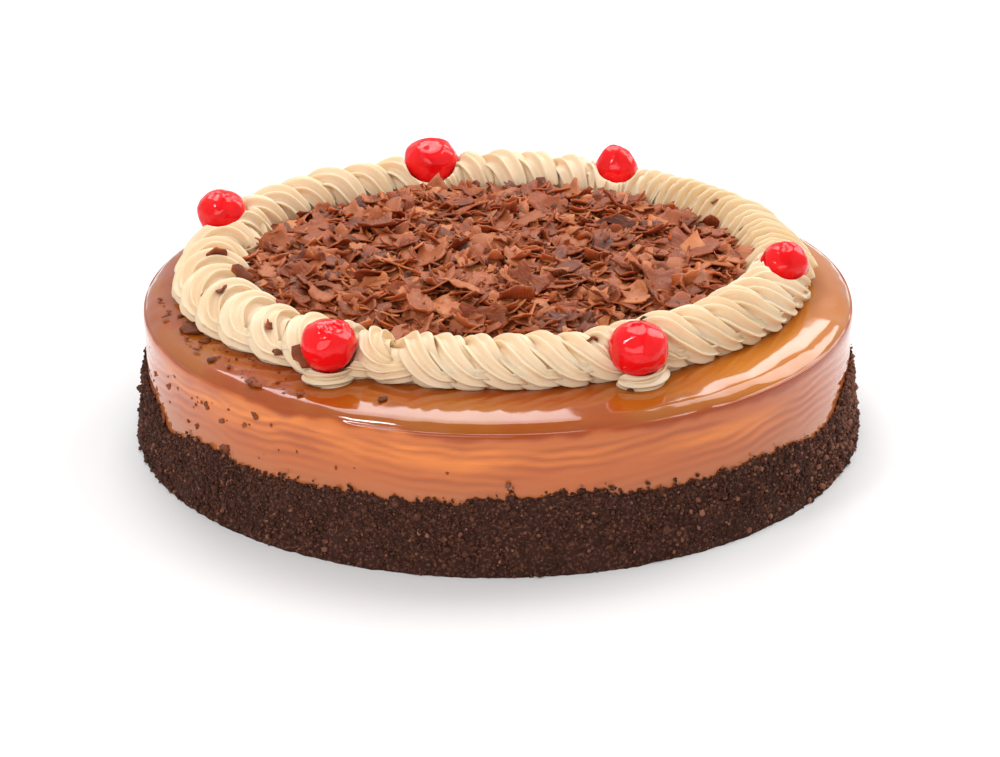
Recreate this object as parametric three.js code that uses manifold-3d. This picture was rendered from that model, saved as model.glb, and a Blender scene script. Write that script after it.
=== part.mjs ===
// A round chocolate cake, 25 cm across: a caramel-brown glazed body, a crumb coat pressed round
// the lower side, a piped cream rope on top, six glace cherries set in the rope and a bed of
// chocolate shavings inside it. Millimetres, +Z up, the origin at the centre of the underside.
// Angles round the cake start at the front, -Y, and run anticlockwise seen from above.
import * as THREE from "three";
import { mergeVertices } from "three/addons/utils/BufferGeometryUtils.js";
import Module from "manifold-3d";

const wasm = await Module();
wasm.setup();

// ---- driving dimensions -------------------------------------------------------------------
const CAKE_RADIUS = 125;
const CAKE_HEIGHT = 50.5;
const GLAZE_EDGE_RADIUS = 5.5; // the glaze rounds the top edge
const GLAZE_EDGE_STEPS = 3;
const CAKE_SEGMENTS = 64;
const GAP = 0.35; // between pieces that touch

const CRUMB_BASE_RADIUS = 131.2; // the crumb coat is thick at the foot and feathers out upwards
const CRUMB_TOP_THICKNESS = 1.7;
const CRUMB_HEIGHT = 23.5;
const CRUMB_WAVE = 1.6; // slow rise and fall of the coat's top edge
const CRUMB_RELIEF = 0.75; // height of the crags
const CRUMB_EDGE_RELIEF = 1.7; // raggedness of the top edge
const CRUMB_SEGMENTS = 116;
const CRUMB_DIPS = [
  { angle: -61, width: 7, depth: 8 },
  { angle: 60, width: 8, depth: 4 },
  { angle: -165, width: 9, depth: 4 },
];

// The rope's centre line is a hand-piped circle: flatter at the front, wide at both sides.
const ROPE_RADIUS = 95.8;
const ROPE_FRONT_FLAT = 2.2;
const ROPE_SIDE_SPREAD = 4.2;
const ROPE_LEFT_BULGE = 0.8;
const CHERRY_LIP = 4.5; // the rope's outer foot swells round the foot of each cherry
const CHERRY_LIP_SPAN = 4.5; // degrees

// Each run of the rope goes from its own cherry, at this angle, to the next one. While a strand
// climbs over the rope it runs on by `lean` turns; the groove is the one between two turns.
const RUNS = [
  { cherry: 26.4, turns: 8, lean: 1.3, halfWidth: 11, height: 15, groove: 4.6 },
  { cherry: 80, turns: 12, lean: 0.4, halfWidth: 11, height: 14, groove: 3.6 },
  { cherry: 152.5, turns: 5, lean: 1, halfWidth: 11, height: 16, groove: 5 },
  { cherry: 195, turns: 7, lean: 1.1, halfWidth: 11, height: 16, groove: 4.8 },
  { cherry: 251.5, turns: 9, lean: 1.2, halfWidth: 12.8, height: 13, groove: 4 },
  { cherry: 328.3, turns: 9, lean: 1.1, halfWidth: 11, height: 13.4, groove: 4.2 },
];
const CHERRIES = [
  { angle: 26.4, radius: 100.5, lift: 11.2, across: 19.6, high: 19.4 },
  { angle: 80, radius: 101, lift: 12.2, across: 17.6, high: 17.2 },
  { angle: 152.5, radius: 101, lift: 13.0, across: 17.6, high: 18.4 },
  { angle: 195, radius: 100, lift: 12.6, across: 22.0, high: 19.6 },
  { angle: 251.5, radius: 106, lift: 14.0, across: 18.8, high: 18.2 },
  { angle: 328.3, radius: 102, lift: 10.8, across: 18.8, high: 18.8 },
];

const BED_EDGE_HEIGHT = 6; // the bed of shavings heaps up slightly to the middle
const BED_CENTRE_HEIGHT = 10;
const BED_TO_ROPE = 13.8; // from the rope's centre line to the bed's edge
const BED_RELIEF = 1.4;
const BED_RINGS = 3;
const BED_SEGMENTS = 32;
const FLAKE_COUNT = 82;
const FLAKE_THICKNESS = 1.4;
const FLAKE_LONGEST = 26;
const FLAKE_SHORTEST = 11;
const FLAKE_TILT = 0.6; // radians
const GOLDEN_ANGLE = Math.PI * (3 - Math.sqrt(5));

// Flakes that fell on the glaze beside the rope: on the top, and stuck to the wall.
const STRAY_THICKNESS = 1;
const STRAY_TOP = { count: 9, from: 285, to: 340, inner: 111, outer: 119, longest: 5.5 };
const STRAY_WALL = { count: 8, from: 288, to: 335, low: 30, high: 43, longest: 4.5 };

const DEGREE = Math.PI / 180;

// ---- helpers ------------------------------------------------------------------------------
function seeded(seed) {
  let state = seed;
  return () => {
    state = (state + 0x6d2b79f5) | 0;
    let t = Math.imul(state ^ (state >>> 15), 1 | state);
    t = (t + Math.imul(t ^ (t >>> 7), 61 | t)) ^ t;
    return ((t ^ (t >>> 14)) >>> 0) / 4294967296;
  };
}

function spread(random, amount) {
  return (random() * 2 - 1) * amount;
}

// A point at an angle round the cake, in radians from the front, a distance from the axis.
function around(angle, distance, z) {
  return new THREE.Vector3(distance * Math.sin(angle), -distance * Math.cos(angle), z);
}

function angleBetween(one, other) {
  return Math.atan2(Math.sin(one - other), Math.cos(one - other));
}

function merged(geometry) {
  const bare = geometry.clone();
  for (const name of ["normal", "uv"]) bare.deleteAttribute(name);
  return mergeVertices(bare, 1e-3);
}

function toSolid(geometry) {
  const closed = merged(geometry);
  return new wasm.Manifold(
    new wasm.Mesh({
      numProp: 3,
      vertProperties: closed.attributes.position.array,
      triVerts: new Uint32Array(closed.index.array),
    }),
  );
}

function toGeometry(solid) {
  const { vertProperties, triVerts } = solid.getMesh();
  const geometry = new THREE.BufferGeometry();
  geometry.setAttribute("position", new THREE.BufferAttribute(new Float32Array(vertProperties), 3));
  geometry.setIndex(new THREE.BufferAttribute(new Uint32Array(triVerts), 1));
  return geometry.toNonIndexed();
}

// The largest single body of a solid: loose scraps and sealed hollows go.
function mainBody(solid) {
  const bodies = solid.decompose();
  return bodies.reduce((best, body) => (body.volume() > best.volume() ? body : best));
}

function moveVertices(geometry, place) {
  const position = geometry.attributes.position;
  const point = new THREE.Vector3();
  for (let i = 0; i < position.count; i += 1) {
    point.fromBufferAttribute(position, i);
    const moved = place(i, point);
    position.setXYZ(i, moved.x, moved.y, moved.z);
  }
  return geometry;
}

// Turns every triangle of an indexed geometry round.
function flipped(geometry) {
  const index = geometry.index;
  for (let i = 0; i < index.count; i += 3) {
    const first = index.getX(i);
    index.setX(i, index.getX(i + 1));
    index.setX(i + 1, first);
  }
  return geometry;
}

// A lathe profile [distance, height] turned round Z. Vertex k of turn i is number i * points + k.
function turned(profile, segments) {
  const points = profile.map(([distance, height]) => new THREE.Vector2(distance, height));
  return new THREE.LatheGeometry(points, segments).rotateX(Math.PI / 2);
}

function ropeRadius(angle) {
  return (
    ROPE_RADIUS -
    ROPE_FRONT_FLAT * Math.cos(angle) -
    ROPE_SIDE_SPREAD * Math.cos(2 * angle) -
    ROPE_LEFT_BULGE * Math.sin(angle)
  );
}

// ---- glazed body --------------------------------------------------------------------------
function glazedBody() {
  const foot = 0.8;
  const profile = [
    [0, 0],
    [CAKE_RADIUS - foot, 0],
    [CAKE_RADIUS, foot],
  ];
  for (let step = 0; step <= GLAZE_EDGE_STEPS; step += 1) {
    const turn = (step / GLAZE_EDGE_STEPS) * (Math.PI / 2);
    profile.push([
      CAKE_RADIUS - GLAZE_EDGE_RADIUS * (1 - Math.cos(turn)),
      CAKE_HEIGHT - GLAZE_EDGE_RADIUS * (1 - Math.sin(turn)),
    ]);
  }
  profile.push([0, CAKE_HEIGHT]);
  return turned(profile, CAKE_SEGMENTS);
}

// The glazed body with the flakes that stick to it.
function glazedBodyWithFlakes() {
  const random = seeded(31);
  const pieces = [toSolid(glazedBody())];
  const stick = (longest, place, turn) => {
    const length = longest * (0.6 + 0.4 * random());
    const flake = flakeShape(length, length * 0.7, STRAY_THICKNESS, 0, random);
    const matrix = new THREE.Matrix4().compose(
      place,
      new THREE.Quaternion().setFromEuler(turn),
      new THREE.Vector3(1, 1, 1),
    );
    pieces.push(toSolid(flake.applyMatrix4(matrix)));
  };
  for (let i = 0; i < STRAY_TOP.count; i += 1) {
    const angle = THREE.MathUtils.lerp(STRAY_TOP.from, STRAY_TOP.to, (i + random()) / STRAY_TOP.count);
    const distance = THREE.MathUtils.lerp(STRAY_TOP.inner, STRAY_TOP.outer, random());
    const turn = new THREE.Euler(0, 0, random() * Math.PI);
    stick(STRAY_TOP.longest, around(angle * DEGREE, distance, CAKE_HEIGHT), turn);
  }
  for (let i = 0; i < STRAY_WALL.count; i += 1) {
    const angle = THREE.MathUtils.lerp(STRAY_WALL.from, STRAY_WALL.to, (i + random()) / STRAY_WALL.count);
    const height = THREE.MathUtils.lerp(STRAY_WALL.low, STRAY_WALL.high, random());
    const turn = new THREE.Euler(Math.PI / 2, 0, angle * DEGREE, "ZXY");
    stick(STRAY_WALL.longest, around(angle * DEGREE, CAKE_RADIUS - 0.1, height), turn);
  }
  return mainBody(wasm.Manifold.union(pieces));
}

// ---- crumb coat ---------------------------------------------------------------------------
function crumbHeight(angle) {
  let height = CRUMB_HEIGHT + CRUMB_WAVE * (Math.sin(5 * angle + 1) + 0.6 * Math.sin(11 * angle));
  for (const dip of CRUMB_DIPS) {
    const away = angleBetween(angle, dip.angle * DEGREE) / (dip.width * DEGREE);
    height -= dip.depth * Math.exp(-(away ** 2));
  }
  return height;
}

function crumbCoat() {
  const inner = CAKE_RADIUS + GAP;
  const random = seeded(11);
  // Each row is [share of the coat's height, share of its thickness there].
  const rows = [
    [0, 0],
    [0, 0.93],
    [0.1, 1],
    [0.3, 1],
    [0.5, 1],
    [0.7, 1],
    [0.88, 0.9],
    [1, 0.45],
    [0.97, 0],
    [0, 0],
  ];
  const crag = Array.from({ length: CRUMB_SEGMENTS }, () =>
    rows.map(() => [spread(random, 1), spread(random, 1)]),
  );
  const geometry = turned(rows.map(([up]) => [inner, up * CRUMB_HEIGHT]), CRUMB_SEGMENTS);
  return moveVertices(geometry, (index) => {
    const turn = Math.floor(index / rows.length) % CRUMB_SEGMENTS;
    const row = index % rows.length;
    const [up, out] = rows[row];
    const [roughOut, roughUp] = crag[turn][row];
    const angle = (turn / CRUMB_SEGMENTS) * 2 * Math.PI;
    const top = crumbHeight(angle) + (up > 0.9 ? crag[turn][7][1] * CRUMB_EDGE_RELIEF : 0);
    const foot = CRUMB_BASE_RADIUS - inner;
    const thick = foot + (CRUMB_TOP_THICKNESS - foot) * up ** 0.8;
    const relief = out > 0 && row > 1 ? roughOut * CRUMB_RELIEF * out : 0;
    const lift = row > 1 && row < 7 ? roughUp * CRUMB_RELIEF : 0;
    return around(angle, inner + thick * out + relief, up * top + lift);
  });
}

// ---- piped rope ---------------------------------------------------------------------------
const TURNS = RUNS.reduce((sum, run) => sum + run.turns, 0);

// The angle at which turn number `turn` lies on the rope, and the run that it belongs to.
function ropeAngle(turn) {
  const laps = Math.floor(turn / TURNS);
  let rest = turn - laps * TURNS;
  for (let i = 0; i < RUNS.length; i += 1) {
    const run = RUNS[i];
    if (rest <= run.turns) {
      const end = i + 1 < RUNS.length ? RUNS[i + 1].cherry : RUNS[0].cherry + 360;
      const degrees = run.cherry + ((end - run.cherry) * rest) / run.turns;
      return (degrees + 360 * laps) * DEGREE;
    }
    rest -= run.turns;
  }
  return (RUNS[0].cherry + 360 * (laps + 1)) * DEGREE;
}

function runAt(turn) {
  let rest = turn - Math.floor(turn / TURNS) * TURNS;
  for (const run of RUNS) {
    if (rest < run.turns) return run;
    rest -= run.turns;
  }
  return RUNS[0];
}

// The rope's section from the middle of its underside, inwards, over the top and back: each row
// is [offset from the centre line as a share of the half width, share of the height, how far
// the strand has run along by then as a share of its lean, share of the groove's depth].
const SECTION = [
  [0, 0, -0.5, 0],
  [-0.92, 0, -0.5, 0.6],
  [-1, 0.24, -0.42, 1],
  [-0.82, 0.64, -0.24, 1],
  [-0.42, 0.93, -0.08, 1],
  [0.1, 1, 0.06, 1],
  [0.58, 0.86, 0.2, 1],
  [0.88, 0.54, 0.34, 1],
  [1, 0.2, 0.46, 1],
  [0.92, 0, 0.5, 0.6],
];
// Across one strand: the groove, its raised leading ridge, a flute, a ridge and the sunk side.
const STRAND = [1, 0.08, 0.34, 0.16, 0.55];

function cherryLip(angle) {
  return CHERRIES.reduce((sum, cherry) => {
    const away = angleBetween(angle, cherry.angle * DEGREE) / (CHERRY_LIP_SPAN * DEGREE);
    return sum + CHERRY_LIP * Math.exp(-(away ** 2));
  }, 0);
}

function pipedRope() {
  const random = seeded(5);
  const size = Array.from({ length: TURNS }, () => 1 + spread(random, 0.06));
  const steps = STRAND.length;
  const columns = TURNS * steps;
  const geometry = new THREE.TorusGeometry(ROPE_RADIUS, 1, SECTION.length, columns);
  return moveVertices(flipped(geometry), (index) => {
    const lap = Math.floor(index / (columns + 1)); // the last lap is the first one again
    const column = (index % (columns + 1)) + (lap === SECTION.length ? steps : 0);
    const [out, up, along, groove] = SECTION[lap % SECTION.length];
    const strand = column / steps;
    const run = runAt(strand);
    const lean = lap % SECTION.length === 0 ? 1 : run.lean;
    const angle = ropeAngle(strand + along * lean);
    const inward = STRAND[column % steps] * run.groove * groove;
    const swell = size[Math.floor(strand) % TURNS];
    const lip = out > 0 ? cherryLip(angle) * (1 - up) : 0;
    const across = (run.halfWidth * swell - inward * Math.abs(out)) * out + lip;
    const height = (run.height * swell - inward) * up;
    return around(angle, ropeRadius(angle) + across, CAKE_HEIGHT + GAP + height);
  });
}

// ---- cherries -----------------------------------------------------------------------------
function cherryShape({ across, high }, number, grow = 0) {
  const random = seeded(70 + number);
  const [lean, pull] = [spread(random, 0.05), 0.04 + random() * 0.05];
  const geometry = new THREE.SphereGeometry(1, 11, 7).rotateX(Math.PI / 2);
  return moveVertices(geometry, (index, point) => {
    const dimple = 1 - 0.12 * Math.exp(-(point.x ** 2 + point.y ** 2) / 0.12) * (point.z > 0 ? 1 : 0);
    const waist = 1 + pull * point.z + lean * point.x;
    return new THREE.Vector3(
      point.x * waist * (across / 2 + grow),
      point.y * waist * (across / 2 + grow),
      point.z * dimple * (high / 2 + grow),
    );
  });
}

function cherryPlace(cherry) {
  return around(cherry.angle * DEGREE, cherry.radius, CAKE_HEIGHT + cherry.lift);
}

// ---- bed of shavings ----------------------------------------------------------------------
function bedHeight(share) {
  return BED_EDGE_HEIGHT + (BED_CENTRE_HEIGHT - BED_EDGE_HEIGHT) * (1 - share ** 2);
}

function bedRadius(angle) {
  return ropeRadius(angle) - BED_TO_ROPE;
}

function bedCore() {
  const profile = [[0, 0], [1, 0]];
  for (let ring = BED_RINGS; ring >= 0; ring -= 1) profile.push([ring / BED_RINGS, 1]);
  const random = seeded(8);
  const relief = Array.from({ length: profile.length * BED_SEGMENTS }, () => spread(random, BED_RELIEF));
  const geometry = turned(profile, BED_SEGMENTS);
  return moveVertices(geometry, (index, point) => {
    const share = Math.hypot(point.x, point.y);
    const angle = Math.atan2(point.x, -point.y);
    const rough = Math.round(share * BED_RINGS) > 0 ? relief[index % relief.length] : 0;
    const height = point.z > 0.5 ? bedHeight(share) + rough : 0;
    return around(angle, share * bedRadius(angle), CAKE_HEIGHT + GAP + height);
  });
}

// One shaving: a ragged five-cornered plate, bowed along its length.
function flakeShape(length, width, thickness, bow, random) {
  const shape = new THREE.Shape();
  const corners = [
    [-0.5, -0.2],
    [0.08, -0.5],
    [0.5, -0.1],
    [0.26, 0.46],
    [-0.34, 0.38],
  ];
  corners.forEach(([x, y], corner) => {
    const at = [(x + spread(random, 0.08)) * length, (y + spread(random, 0.12)) * width];
    if (corner === 0) shape.moveTo(...at);
    else shape.lineTo(...at);
  });
  shape.closePath();
  const geometry = new THREE.ExtrudeGeometry(shape, {
    depth: thickness,
    bevelEnabled: false,
    steps: 1,
  });
  return moveVertices(geometry, (index, point) => {
    const bend = bow * (point.x / (length / 2)) ** 2 * (length / 2);
    return new THREE.Vector3(point.x, point.y, point.z - thickness / 2 + bend);
  });
}

function shavingsBed() {
  const random = seeded(2024);
  const pieces = [toSolid(bedCore())];
  for (let i = 0; i < FLAKE_COUNT; i += 1) {
    const share = Math.sqrt((i + 0.5) / FLAKE_COUNT);
    const angle = i * GOLDEN_ANGLE + spread(random, 0.1);
    const length = FLAKE_SHORTEST + (FLAKE_LONGEST - FLAKE_SHORTEST) * random() ** 1.4;
    const width = length * (0.45 + 0.4 * random());
    const flake = flakeShape(length, width, FLAKE_THICKNESS, spread(random, 0.3), random);
    const turn = new THREE.Euler(
      spread(random, FLAKE_TILT),
      spread(random, FLAKE_TILT),
      random() * 2 * Math.PI,
      "ZXY",
    );
    const reach = bedRadius(angle) - length * 0.56;
    const distance = Math.max(0, Math.min(share * bedRadius(angle), reach));
    const surface = bedHeight(distance / bedRadius(angle));
    const place = around(angle, distance, CAKE_HEIGHT + GAP + surface);
    const matrix = new THREE.Matrix4().compose(
      place,
      new THREE.Quaternion().setFromEuler(turn),
      new THREE.Vector3(1, 1, 1),
    );
    pieces.push(toSolid(flake.applyMatrix4(matrix)));
  }
  return mainBody(wasm.Manifold.union(pieces).trimByPlane([0, 0, 1], CAKE_HEIGHT + GAP));
}

// ---- the cake -----------------------------------------------------------------------------
function material(color, roughness) {
  return new THREE.MeshStandardMaterial({ color, roughness, metalness: 0 });
}

const cake = new THREE.Group();

function addPiece(name, geometry, finish, position = new THREE.Vector3()) {
  const mesh = new THREE.Mesh(geometry, finish);
  mesh.name = name;
  mesh.position.copy(position);
  cake.add(mesh);
}

const cherryRed = material(0xc90f14, 0.12);
let rope = toSolid(pipedRope());
CHERRIES.forEach((cherry, i) => {
  const place = cherryPlace(cherry);
  const socket = cherryShape(cherry, i, GAP + 0.05).translate(place.x, place.y, place.z);
  rope = rope.subtract(toSolid(socket));
  addPiece(`cherry_${i + 1}`, cherryShape(cherry, i), cherryRed, place);
});

addPiece("glazed_body", toGeometry(glazedBodyWithFlakes()), material(0xa8602f, 0.15));
addPiece("crumb_coat", crumbCoat(), material(0x35201a, 0.95));
addPiece("cream_rope", toGeometry(mainBody(rope)), material(0xe6cfa6, 0.5));
addPiece("shavings", toGeometry(shavingsBed()), material(0x7a4630, 0.6));

export default cake;
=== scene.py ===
"""Dresses the solid model of a round chocolate cake: mirror glaze, crumb coat, piped cream,
glace cherries, a bed of chocolate shavings and the flakes that fell beside it.

Metres, +Z up, the front of the cake towards -Y. Angles round the cake start at the front and
run anticlockwise seen from above, as in the solid model.
"""

import random
from collections import namedtuple
from math import atan2, cos, degrees, exp, hypot, pi, radians, sin, sqrt, tan

import bmesh
import bpy
import numpy as np
from mathutils import Matrix, Vector
from mathutils.noise import noise


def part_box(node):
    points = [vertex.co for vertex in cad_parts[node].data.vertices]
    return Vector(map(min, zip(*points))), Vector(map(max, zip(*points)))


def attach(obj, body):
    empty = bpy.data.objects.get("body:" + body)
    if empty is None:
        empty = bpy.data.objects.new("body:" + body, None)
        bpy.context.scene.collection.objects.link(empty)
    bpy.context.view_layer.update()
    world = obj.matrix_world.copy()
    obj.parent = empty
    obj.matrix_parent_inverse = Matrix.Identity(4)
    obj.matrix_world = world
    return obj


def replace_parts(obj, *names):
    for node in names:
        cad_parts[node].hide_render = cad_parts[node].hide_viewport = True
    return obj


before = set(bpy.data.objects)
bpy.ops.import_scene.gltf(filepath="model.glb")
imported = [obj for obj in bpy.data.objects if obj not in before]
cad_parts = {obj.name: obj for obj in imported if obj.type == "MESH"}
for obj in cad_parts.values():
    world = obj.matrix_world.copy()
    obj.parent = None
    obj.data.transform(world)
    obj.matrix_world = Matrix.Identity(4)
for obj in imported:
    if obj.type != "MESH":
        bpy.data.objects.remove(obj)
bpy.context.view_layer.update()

bl_info = {
    "name": "Chocolate Cake",
    "version": (1, 0, 0),
    "blender": (4, 5, 0),
    "location": "View3D > Sidebar > Cake",
    "description": "Dresses the solid model of a glazed chocolate cake with piped cream and cherries",
    "category": "Add Mesh",
}

MM = 0.001
TAU = 2 * pi
BODY = "root"
UP = Vector((0, 0, 1))

# ---- sizes shared with the solid model ----
GAP = 0.35 * MM  # the solid model's gap between pieces that touch
CAKE_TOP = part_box("cream_rope")[0].z - GAP
CAKE_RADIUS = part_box("glazed_body")[1].x
CRUMB_BASE_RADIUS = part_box("crumb_coat")[1].x

ROPE_RADIUS = 95.8 * MM
ROPE_FRONT_FLAT = 2.2 * MM
ROPE_SIDE_SPREAD = 4.2 * MM
ROPE_LEFT_BULGE = 0.8 * MM

# How the nozzle moved along a run of the piped rope, in turns of the nozzle where nothing else is
# said. `lean` is how far the rope runs on while the strand crosses over it, `lay` how far a loop
# lies back on the loop before it, `hook` how far its ends run along the rope, `strand` the
# strand's half width, `tilt` the turn of its section in degrees, `twist` how far the ribs wind
# round the strand and `face_up` how much its face looks up.
UPRIGHT = {"lean": 2.1, "lay": -0.12, "hook": 0.36, "strand": 0.5, "tilt": -22, "twist": 0.6, "face_up": 0.2}
ARCHED = {"lean": 1.2, "lay": 0.14, "hook": 0.05, "strand": 0.46, "tilt": 16, "twist": 0.5, "face_up": 0.2}
FLAT = {"lean": 0.6, "lay": 0.42, "hook": 0.0, "strand": 0.4, "tilt": 12, "twist": 0.0, "face_up": 1.2}
RUFFLE = {"strand": 0.165}

# Each run of the rope goes from its own cherry to the next one. Sizes are in millimetres.
RUNS = [
    {"cherry": 26.4, "turns": 8, "half_width": 11, "height": 15, "style": UPRIGHT},
    {"cherry": 80.0, "turns": 12, "half_width": 11, "height": 14, "style": RUFFLE},
    {"cherry": 152.5, "turns": 5, "half_width": 11, "height": 16, "style": ARCHED},
    {"cherry": 195.0, "turns": 7, "half_width": 11, "height": 16, "style": ARCHED},
    {"cherry": 251.5, "turns": 9, "half_width": 12.8, "height": 13, "style": FLAT},
    {"cherry": 328.3, "turns": 9, "half_width": 11, "height": 13.4, "style": UPRIGHT, "opening": FLAT},
]
# For the cherry at the start of each run: how high the cream in front hides its foot, in
# millimetres, and how much wider it is above than below.
CHERRY_COVER = [0.3, 2.2, 1.2, 0.6, 3.2, 0.8]
CHERRY_TAPER = [0.0, 0.03, -0.17, 0.15, 0.06, 0.1]
LIP_TURN = [0.1, 0.8, 0.2, 0.0, -0.4, 0.75]  # how far the folds under a cherry turn round it
OPENING_TURNS = (1.3, 2.1)  # where a run changes from its opening style to its own
TURNS = sum(run["turns"] for run in RUNS)

CRUMB_HEIGHT = 23.5 * MM
CRUMB_WAVE = 1.6 * MM
CRUMB_DIPS = [(-61, 7, 8), (60, 8, 4), (-165, 9, 4)]  # degrees, degrees wide, mm deep

BED_EDGE_HEIGHT = 6 * MM
BED_CENTRE_HEIGHT = 10 * MM
BED_TO_ROPE = 13.8 * MM

GOLDEN_ANGLE = pi * (3 - sqrt(5))


# ---- settings ----
def size_property(name, description, millimetres):
    return bpy.props.FloatProperty(
        name=name, description=description, default=millimetres * MM, min=0, unit="LENGTH"
    )


def colour_property(name, description, red, green, blue):
    """A colour given as screen values from 11 to 255, and kept as linear light."""
    linear = [((value / 255 + 0.055) / 1.055) ** 2.4 for value in (red, green, blue)]
    return bpy.props.FloatVectorProperty(
        name=name, description=description, subtype="COLOR", size=3, min=0, max=1, default=linear
    )


def count_property(name, description, number):
    return bpy.props.IntProperty(name=name, description=description, default=number, min=0)


def angle_property(name, description, angle):
    return bpy.props.FloatProperty(
        name=name, description=description, default=radians(angle), subtype="ANGLE"
    )


class GlazeSettings(bpy.types.PropertyGroup):
    caramel: colour_property("Caramel", "The wall's glaze", 192, 98, 44)
    # Painted light: bright patches on the wall, where light seems to shine through the glaze, are painted
    # into its colour.
    painted_glow: colour_property("Glow", "Where the wall's glaze is thin and lets light through", 246, 142, 56)
    shade: colour_property("Shade", "Hollows between the ripples", 170, 80, 34)
    foot: colour_property("Foot", "The plain stretch over the crumb coat", 186, 108, 62)
    bead: colour_property("Bead", "The thick glaze just under the edge", 160, 66, 14)
    top: colour_property("Top", "The glaze on the flat top", 164, 88, 22)
    deep: colour_property("Deep", "Thicker glaze on the flat top", 160, 68, 14)
    # Painted sheen: the right of the top is painted lighter for the light that it catches.
    painted_light: colour_property("Thin", "Thinner glaze on the right of the top", 192, 112, 28)
    ripple_depth: size_property("Ripple depth", "Depth of the palette knife's ripples in the wall", 0.28)
    ripple_height: size_property("Ripple height", "Height of one ripple on the wall", 3.3)
    sag: size_property("Sag", "How far the ripples sag between their high points", 3.6)
    edge_radius: size_property("Edge radius", "Rounding of the top edge", 5.5)


class CrumbSettings(bpy.types.PropertyGroup):
    crumb: colour_property("Crumb", "Dark cake crumb", 92, 53, 39)
    deep: colour_property("Deep", "Crumb in the hollows", 60, 31, 22)
    light: colour_property("Light crumb", "Paler grains in the crumb", 158, 104, 80)
    crumb_size: size_property("Crumb size", "Width of a middling crumb", 1.3)
    grain_size: size_property("Grain size", "Width of a fine grain", 0.7)
    crumbs: count_property("Crumbs", "Crumbs stuck on the coat", 9000)
    grains: count_property("Grains", "Fine grains on the coat", 9000)
    tufts: count_property("Tufts", "Tufts of grains over its edge", 820)


class CreamSettings(bpy.types.PropertyGroup):
    cream: colour_property("Cream", "Piped buttercream", 240, 215, 182)
    rib_depth: size_property("Rib depth", "Height of the ribs that the star nozzle leaves", 3.0)
    ribs: count_property("Ribs", "Teeth of the star nozzle", 9)
    strand: size_property("Strand", "Half the thickness of the piped strand", 4.8)


class CherrySettings(bpy.types.PropertyGroup):
    red: colour_property("Red", "Glace cherry", 240, 14, 22)


class ShavingSettings(bpy.types.PropertyGroup):
    chocolate: colour_property("Chocolate", "Milk chocolate shavings", 146, 71, 36)
    pale: colour_property("Pale", "Scraped faces of the shavings", 204, 124, 74)
    dark: colour_property("Dark", "Darker shavings", 76, 30, 14)
    # Painted light: the torn edges are painted orange where light would shine through them.
    rim: colour_property("Rim", "Thin torn edges that let light through", 208, 92, 26)
    broad: count_property("Broad shavings", "Broad curled shavings", 75)
    middling: count_property("Middling shavings", "Curved shavings", 720)
    short: count_property("Short shavings", "Short broken shavings", 1350)
    chips: count_property("Chips", "Small flat chips", 1350)
    slivers: count_property("Slivers", "Narrow curls and splinters", 650)
    thickness: size_property("Thickness", "Thickness of a shaving", 0.45)


class StageSettings(bpy.types.PropertyGroup):
    lens: bpy.props.FloatProperty(
        name="Lens", description="Focal length", default=82.8, subtype="DISTANCE_CAMERA"
    )
    distance: size_property("Distance", "From the camera to the point that it looks at", 833.19)
    elevation: angle_property("Elevation", "Height angle of the camera", 23.382)
    roll: angle_property("Roll", "Turn of the camera about its view", -0.272)


# ---- helpers ----
def around(angle, distance, height):
    """The point at an angle round the cake, a distance from its middle and a height."""
    return Vector((distance * sin(angle), -distance * cos(angle), height))


def angle_between(one, other):
    return atan2(sin(one - other), cos(one - other))


def lerp(low, high, share):
    """The value at a share of the way from low to high."""
    return low + (high - low) * share


def smooth(low, high, value):
    """0 below low, 1 above high, and an even slope between them."""
    share = min(1.0, max(0.0, (value - low) / (high - low)))
    return share * share * (3 - 2 * share)


def rope_radius(angle):
    return (
        ROPE_RADIUS
        - ROPE_FRONT_FLAT * cos(angle)
        - ROPE_SIDE_SPREAD * cos(2 * angle)
        - ROPE_LEFT_BULGE * sin(angle)
    )


def bed_radius(angle):
    return rope_radius(angle) - BED_TO_ROPE


def bed_height(share):
    return BED_EDGE_HEIGHT + (BED_CENTRE_HEIGHT - BED_EDGE_HEIGHT) * (1 - share**2)


def crumb_height(angle):
    height = CRUMB_HEIGHT + CRUMB_WAVE * (sin(5 * angle + 1) + 0.6 * sin(11 * angle))
    for at, width, depth in CRUMB_DIPS:
        away = angle_between(angle, radians(at)) / radians(width)
        height -= depth * MM * exp(-(away**2))
    return height


def linked(name, data):
    """A new object in the scene."""
    thing = bpy.data.objects.new(name, data)
    bpy.context.scene.collection.objects.link(thing)
    return thing


def add_piece(name, mesh, material):
    piece = linked(name, mesh)
    mesh.materials.append(material)
    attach(piece, BODY)
    return piece


def mesh_from(bm, name):
    """A smooth-shaded mesh with its faces outwards. Frees the bmesh."""
    bmesh.ops.recalc_face_normals(bm, faces=bm.faces)
    for face in bm.faces:
        face.smooth = True
    mesh = bpy.data.meshes.new(name)
    bm.to_mesh(mesh)
    bm.free()
    return mesh


def spun(profile, segments):
    """A closed turned body from (distance, height) points, which start and end on the axis or meet."""
    bm = bmesh.new()
    points = [bm.verts.new((0, -distance, height)) for distance, height in profile]
    edges = [bm.edges.new(pair) for pair in zip(points, points[1:])]
    bmesh.ops.spin(
        bm,
        geom=points + edges,
        cent=(0, 0, 0),
        axis=(0, 0, 1),
        dvec=(0, 0, 0),
        angle=TAU,
        steps=segments,
        use_merge=True,
        use_duplicate=False,
    )
    bmesh.ops.remove_doubles(bm, verts=bm.verts, dist=1e-6)
    return bm


def cylinder_of(point):
    """A point's angle round the cake and its distance from the middle."""
    return atan2(point.x, -point.y), hypot(point.x, point.y)


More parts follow.
